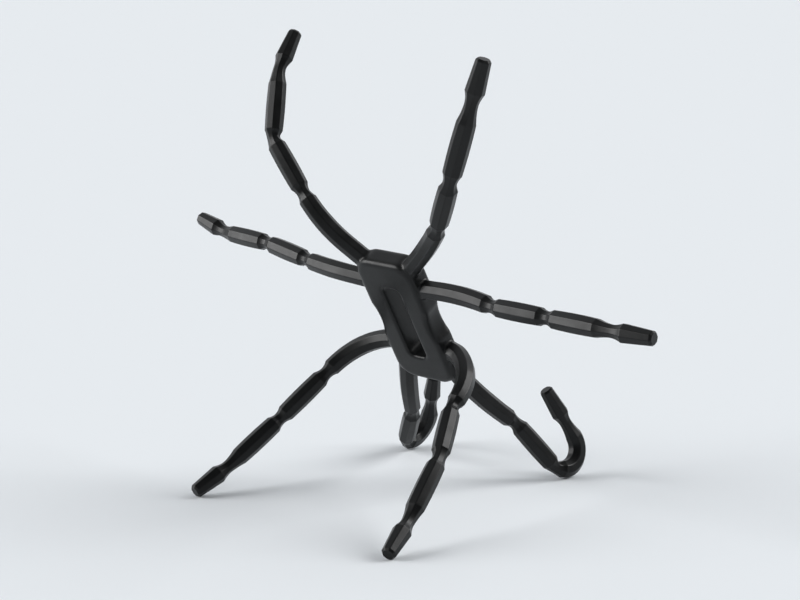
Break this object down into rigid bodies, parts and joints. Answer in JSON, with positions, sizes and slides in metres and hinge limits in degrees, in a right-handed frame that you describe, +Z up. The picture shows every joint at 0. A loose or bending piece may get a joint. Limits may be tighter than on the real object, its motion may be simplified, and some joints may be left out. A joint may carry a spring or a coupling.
{
  "type": "bendable eight-legged phone stand",
  "caption": "Bendable phone stand: a slotted oblong rubber hub with necked, faceted legs all round, some bent to hook a phone's lower edge and others to prop it up at a lean.",
  "frame": {"origin": "on the ground, under the middle of the stand's box as it stands", "axes": "+X to the right seen from behind, +Y forward to the side where the phone rests, +Z up"},
  "size_m": [0.1954, 0.1132, 0.1441],
  "materials": {
    "black_rubber": "satin",
    "wire_steel": "drawn"
  },
  "bodies": {
    "hub": {"hub": "black_rubber", "wire_top": "wire_steel", "wire_upper": "wire_steel", "wire_lower": "wire_steel", "wire_bottom": "wire_steel"},
    "leg_top_left_root": {"leg_top_left_root": "black_rubber"},
    "leg_top_left_inner_link": {"leg_top_left_inner_link": "black_rubber"},
    "leg_top_left_outer_link": {"leg_top_left_outer_link": "black_rubber"},
    "leg_top_left_foot": {"leg_top_left_foot": "black_rubber"},
    "leg_top_right_root": {"leg_top_right_root": "black_rubber"},
    "leg_top_right_inner_link": {"leg_top_right_inner_link": "black_rubber"},
    "leg_top_right_outer_link": {"leg_top_right_outer_link": "black_rubber"},
    "leg_top_right_foot": {"leg_top_right_foot": "black_rubber"},
    "leg_upper_left_root": {"leg_upper_left_root": "black_rubber"},
    "leg_upper_left_inner_link": {"leg_upper_left_inner_link": "black_rubber"},
    "leg_upper_left_outer_link": {"leg_upper_left_outer_link": "black_rubber"},
    "leg_upper_left_foot": {"leg_upper_left_foot": "black_rubber"},
    "leg_upper_right_root": {"leg_upper_right_root": "black_rubber"},
    "leg_upper_right_inner_link": {"leg_upper_right_inner_link": "black_rubber"},
    "leg_upper_right_outer_link": {"leg_upper_right_outer_link": "black_rubber"},
    "leg_upper_right_foot": {"leg_upper_right_foot": "black_rubber"},
    "leg_lower_left_root": {"leg_lower_left_root": "black_rubber"},
    "leg_lower_left_inner_link": {"leg_lower_left_inner_link": "black_rubber"},
    "leg_lower_left_outer_link": {"leg_lower_left_outer_link": "black_rubber"},
    "leg_lower_left_foot": {"leg_lower_left_foot": "black_rubber"},
    "leg_lower_right_root": {"leg_lower_right_root": "black_rubber"},
    "leg_lower_right_inner_link": {"leg_lower_right_inner_link": "black_rubber"},
    "leg_lower_right_outer_link": {"leg_lower_right_outer_link": "black_rubber"},
    "leg_lower_right_foot": {"leg_lower_right_foot": "black_rubber"},
    "leg_bottom_left_root": {"leg_bottom_left_root": "black_rubber"},
    "leg_bottom_left_inner_link": {"leg_bottom_left_inner_link": "black_rubber"},
    "leg_bottom_left_outer_link": {"leg_bottom_left_outer_link": "black_rubber"},
    "leg_bottom_left_foot": {"leg_bottom_left_foot": "black_rubber"},
    "leg_bottom_right_root": {"leg_bottom_right_root": "black_rubber"},
    "leg_bottom_right_inner_link": {"leg_bottom_right_inner_link": "black_rubber"},
    "leg_bottom_right_outer_link": {"leg_bottom_right_outer_link": "black_rubber"},
    "leg_bottom_right_foot": {"leg_bottom_right_foot": "black_rubber"}
  },
  "joints": [
    {"name": "top_left_hub_joint", "type": "hinge", "parent": "hub", "child": "leg_top_left_root", "pos_m": [-0.01135, -0.0124, 0.07704], "axis": [-0.7133, 0.3714, -0.5944], "range_deg": [-40, 40], "deforming": ["wire_top"]},
    {"name": "top_left_first_neck", "type": "hinge", "parent": "leg_top_left_root", "child": "leg_top_left_inner_link", "pos_m": [-0.02915, -0.01821, 0.09476], "axis": [-0.7547, -0.0204, -0.6558], "range_deg": [-49, 41], "deforming": ["wire_top"]},
    {"name": "top_left_second_neck", "type": "hinge", "parent": "leg_top_left_inner_link", "child": "leg_top_left_outer_link", "pos_m": [-0.04293, -0.01777, 0.11061], "axis": [-0.466, 0.7751, -0.4266], "range_deg": [-77, 13], "deforming": ["wire_top"]},
    {"name": "top_left_long_neck", "type": "hinge", "parent": "leg_top_left_outer_link", "child": "leg_top_left_foot", "pos_m": [-0.04849, -0.00967, 0.1314], "axis": [-0.8016, 0.4525, -0.3907], "range_deg": [-63, 27], "deforming": ["wire_top"]},
    {"name": "top_right_hub_joint", "type": "hinge", "parent": "hub", "child": "leg_top_right_root", "pos_m": [0.01163, -0.01187, 0.07619], "axis": [-0.6494, -0.403, 0.6449], "range_deg": [-40, 40], "deforming": ["wire_top"]},
    {"name": "top_right_first_neck", "type": "hinge", "parent": "leg_top_right_root", "child": "leg_top_right_inner_link", "pos_m": [0.03062, -0.02298, 0.08992], "axis": [-0.6244, -0.7786, 0.0616], "range_deg": [-61, 29], "deforming": ["wire_top"]},
    {"name": "top_right_second_neck", "type": "hinge", "parent": "leg_top_right_inner_link", "child": "leg_top_right_outer_link", "pos_m": [0.04256, -0.03136, 0.10503], "axis": [-0.7538, -0.603, 0.2611], "range_deg": [-73, 17], "deforming": ["wire_top"]},
    {"name": "top_right_long_neck", "type": "hinge", "parent": "leg_top_right_outer_link", "child": "leg_top_right_foot", "pos_m": [0.05054, -0.032, 0.12659], "axis": [-0.808, -0.5164, 0.2838], "range_deg": [-47, 43], "deforming": ["wire_top"]},
    {"name": "upper_left_hub_joint", "type": "hinge", "parent": "hub", "child": "leg_upper_left_root", "pos_m": [-0.01389, -0.00716, 0.06864], "axis": [-0.0958, 0.5275, -0.8441], "range_deg": [-40, 40], "deforming": ["wire_upper"]},
    {"name": "upper_left_first_neck", "type": "hinge", "parent": "leg_upper_left_root", "child": "leg_upper_left_inner_link", "pos_m": [-0.03968, -0.00591, 0.07101], "axis": [0.1801, 0.6486, 0.7395], "range_deg": [-49, 41], "deforming": ["wire_upper"]},
    {"name": "upper_left_second_neck", "type": "hinge", "parent": "leg_upper_left_inner_link", "child": "leg_upper_left_outer_link", "pos_m": [-0.06033, -0.00371, 0.07412], "axis": [-0.0908, -0.9912, 0.0966], "range_deg": [-51, 39], "deforming": ["wire_upper"]},
    {"name": "upper_left_long_neck", "type": "hinge", "parent": "leg_upper_left_outer_link", "child": "leg_upper_left_foot", "pos_m": [-0.0832, -0.00152, 0.07513], "axis": [0.0935, 0.9946, -0.0445], "range_deg": [-56, 34], "deforming": ["wire_upper"]},
    {"name": "upper_right_hub_joint", "type": "hinge", "parent": "hub", "child": "leg_upper_right_root", "pos_m": [0.01329, -0.00653, 0.06764], "axis": [-0.0087, -0.5299, 0.848], "range_deg": [-40, 40], "deforming": ["wire_upper"]},
    {"name": "upper_right_first_neck", "type": "hinge", "parent": "leg_upper_right_root", "child": "leg_upper_right_inner_link", "pos_m": [0.03913, -0.0081, 0.06597], "axis": [0.0049, -0.744, 0.6682], "range_deg": [-54, 36], "deforming": ["wire_upper"]},
    {"name": "upper_right_second_neck", "type": "hinge", "parent": "leg_upper_right_inner_link", "child": "leg_upper_right_outer_link", "pos_m": [0.06011, -0.00847, 0.0654], "axis": [-0.03, -0.1894, -0.9814], "range_deg": [-47, 43], "deforming": ["wire_upper"]},
    {"name": "upper_right_long_neck", "type": "hinge", "parent": "leg_upper_right_outer_link", "child": "leg_upper_right_foot", "pos_m": [0.08308, -0.00967, 0.06493], "axis": [0.024, 0.0685, 0.9974], "range_deg": [-52, 38], "deforming": ["wire_upper"]},
    {"name": "lower_left_hub_joint", "type": "hinge", "parent": "hub", "child": "leg_lower_left_root", "pos_m": [-0.01519, 0.00629, 0.04713], "axis": [-0.0574, -0.7871, 0.6142], "range_deg": [-56, 24], "deforming": ["wire_lower"]},
    {"name": "lower_left_first_neck", "type": "hinge", "parent": "leg_lower_left_root", "child": "leg_lower_left_inner_link", "pos_m": [-0.03334, -0.00453, 0.03458], "axis": [0.5348, 0.4439, -0.719], "range_deg": [-49, 41], "deforming": ["wire_lower"]},
    {"name": "lower_left_second_neck", "type": "hinge", "parent": "leg_lower_left_inner_link", "child": "leg_lower_left_outer_link", "pos_m": [-0.04146, -0.01771, 0.0204], "axis": [-0.6572, -0.3261, 0.6796], "range_deg": [-65.5, 24.5], "deforming": ["wire_lower"]},
    {"name": "lower_left_long_neck", "type": "hinge", "parent": "leg_lower_left_outer_link", "child": "leg_lower_left_foot", "pos_m": [-0.04458, -0.03693, 0.00816], "axis": [-0.9797, 0.1931, -0.0533], "range_deg": [-51, 39], "deforming": ["wire_lower"]},
    {"name": "lower_right_hub_joint", "type": "hinge", "parent": "hub", "child": "leg_lower_right_root", "pos_m": [0.01238, 0.00692, 0.04611], "axis": [-0.1472, 0.4482, -0.8817], "range_deg": [-74, 6], "deforming": ["wire_lower"]},
    {"name": "lower_right_first_neck", "type": "hinge", "parent": "leg_lower_right_root", "child": "leg_lower_right_inner_link", "pos_m": [0.02539, -0.01015, 0.03385], "axis": [0.1663, -0.5279, 0.8329], "range_deg": [-64, 26], "deforming": ["wire_lower"]},
    {"name": "lower_right_second_neck", "type": "hinge", "parent": "leg_lower_right_inner_link", "child": "leg_lower_right_outer_link", "pos_m": [0.03386, -0.02558, 0.02239], "axis": [0.1515, 0.6419, -0.7516], "range_deg": [-59, 31], "deforming": ["wire_lower"]},
    {"name": "lower_right_long_neck", "type": "hinge", "parent": "leg_lower_right_outer_link", "child": "leg_lower_right_foot", "pos_m": [0.03784, -0.04319, 0.00815], "axis": [-0.9305, -0.3332, 0.1524], "range_deg": [-57, 33], "deforming": ["wire_lower"]},
    {"name": "bottom_left_hub_joint", "type": "hinge", "parent": "hub", "child": "leg_bottom_left_root", "pos_m": [-0.01299, 0.01238, 0.03737], "axis": [0.9171, 0.2113, -0.3382], "range_deg": [-40, 40], "deforming": ["wire_bottom"]},
    {"name": "bottom_left_first_neck", "type": "hinge", "parent": "leg_bottom_left_root", "child": "leg_bottom_left_inner_link", "pos_m": [-0.02349, 0.02636, 0.01816], "axis": [-0.365, 0.591, 0.7194], "range_deg": [-57, 33], "deforming": ["wire_bottom"]},
    {"name": "bottom_left_second_neck", "type": "hinge", "parent": "leg_bottom_left_inner_link", "child": "leg_bottom_left_outer_link", "pos_m": [-0.03552, 0.03615, 0.00401], "axis": [0.7932, 0.109, -0.5992], "range_deg": [-84, 6], "deforming": ["wire_bottom"]},
    {"name": "bottom_left_long_neck", "type": "hinge", "parent": "leg_bottom_left_outer_link", "child": "leg_bottom_left_foot", "pos_m": [-0.03229, 0.04527, 0.01588], "axis": [-0.7563, 0.3235, 0.5686], "range_deg": [-45, 45], "deforming": ["wire_bottom"]},
    {"name": "bottom_right_hub_joint", "type": "hinge", "parent": "hub", "child": "leg_bottom_right_root", "pos_m": [0.00918, 0.0129, 0.03655], "axis": [0.8729, 0.1766, 0.4548], "range_deg": [-54, 26], "deforming": ["wire_bottom"]},
    {"name": "bottom_right_first_neck", "type": "hinge", "parent": "leg_bottom_right_root", "child": "leg_bottom_right_inner_link", "pos_m": [0.0158, 0.03169, 0.01989], "axis": [-0.8711, -0.042, -0.4894], "range_deg": [-63, 27], "deforming": ["wire_bottom"]},
    {"name": "bottom_right_second_neck", "type": "hinge", "parent": "leg_bottom_right_inner_link", "child": "leg_bottom_right_outer_link", "pos_m": [0.02421, 0.04251, 0.00399], "axis": [0.8925, -0.0328, 0.4499], "range_deg": [-86, 4], "deforming": ["wire_bottom"]},
    {"name": "bottom_right_long_neck", "type": "hinge", "parent": "leg_bottom_right_outer_link", "child": "leg_bottom_right_foot", "pos_m": [0.02211, 0.05073, 0.01661], "axis": [-0.802, -0.389, -0.4532], "range_deg": [-45, 45], "deforming": ["wire_bottom"]}
  ]
}
